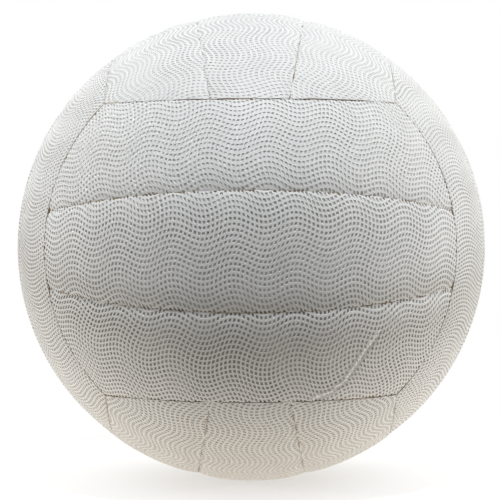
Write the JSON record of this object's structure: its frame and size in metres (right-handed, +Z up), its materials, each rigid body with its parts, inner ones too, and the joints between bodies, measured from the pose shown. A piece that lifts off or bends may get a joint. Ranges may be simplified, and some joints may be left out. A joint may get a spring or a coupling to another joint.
{
  "type": "volleyball",
  "caption": "Round white ball covered in glued, grained strips over a thread-wound air bladder, with an inflation valve whose core pulls out.",
  "frame": {"origin": "centre of the ball", "axes": "+Z up, -Y towards the front face with the level strips, +Y out of the valve along its axis"},
  "size_m": [0.21, 0.2099, 0.21],
  "materials": {
    "cover": "white grained synthetic leather, matt to satin",
    "cover_rubber": "brown rubber with cement",
    "winding": "nylon thread wound in all directions",
    "bladder": "smooth butyl rubber",
    "valve_housing": "soft moulded rubber",
    "valve_core": "soft moulded rubber"
  },
  "bodies": {
    "ball": {"front_upper_panel": "cover", "front_middle_panel": "cover", "front_lower_panel": "cover", "back_upper_panel": "cover", "back_middle_panel": "cover", "back_lower_panel": "cover", "left_front_panel": "cover", "left_middle_panel": "cover", "left_rear_panel": "cover", "right_front_panel": "cover", "right_middle_panel": "cover", "right_rear_panel": "cover", "top_left_panel": "cover", "top_middle_panel": "cover", "top_right_panel": "cover", "bottom_left_panel": "cover", "bottom_middle_panel": "cover", "bottom_right_panel": "cover", "cover_rubber": "cover_rubber", "winding": "winding", "bladder": "bladder", "valve_housing": "valve_housing"},
    "valve_core": {"valve_core": "valve_core"}
  },
  "joints": [
    {"name": "valve_core_pull", "type": "slide", "parent": "ball", "child": "valve_core", "axis": [0, 1, 0], "range_m": [0, 0.026]}
  ]
}
